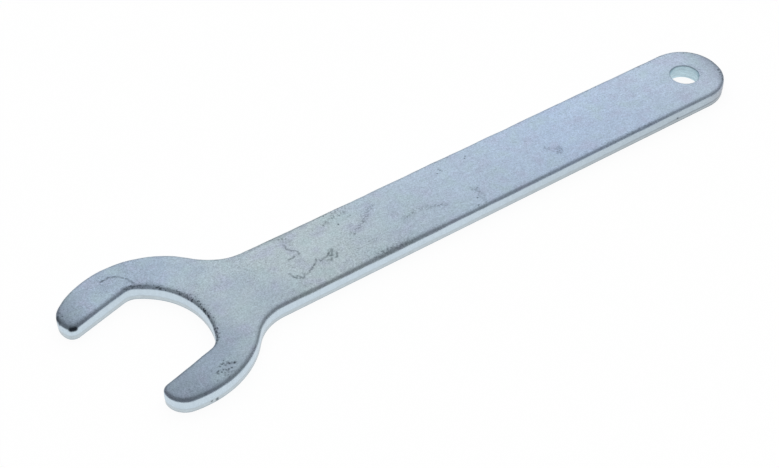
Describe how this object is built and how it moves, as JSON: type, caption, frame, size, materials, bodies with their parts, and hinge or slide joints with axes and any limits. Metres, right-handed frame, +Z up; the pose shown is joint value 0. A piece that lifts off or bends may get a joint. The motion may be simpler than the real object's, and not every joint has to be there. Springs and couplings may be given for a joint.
{
  "type": "flat open-jaw spanner",
  "caption": "Flat open-jaw spanner blanked from zinc-plated steel plate, with an angled jaw, a straight parallel handle and a round hang hole through its rounded tail.",
  "frame": {"origin": "centre of the hang hole, on the underside of the plate", "axes": "+X along the handle from the head to the tail, +Y across the handle towards the side that the jaw's opening leans away from, +Z up through the plate from the flat underside to the face with the rolled edge"},
  "size_m": [0.1627, 0.0414, 0.0035],
  "materials": {
    "zinc_plate": "bright zinc plating with a pale blue passivate, slightly mottled, with handling scratches"
  },
  "bodies": {
    "root": {"spanner": "zinc_plate"}
  },
  "joints": []
}
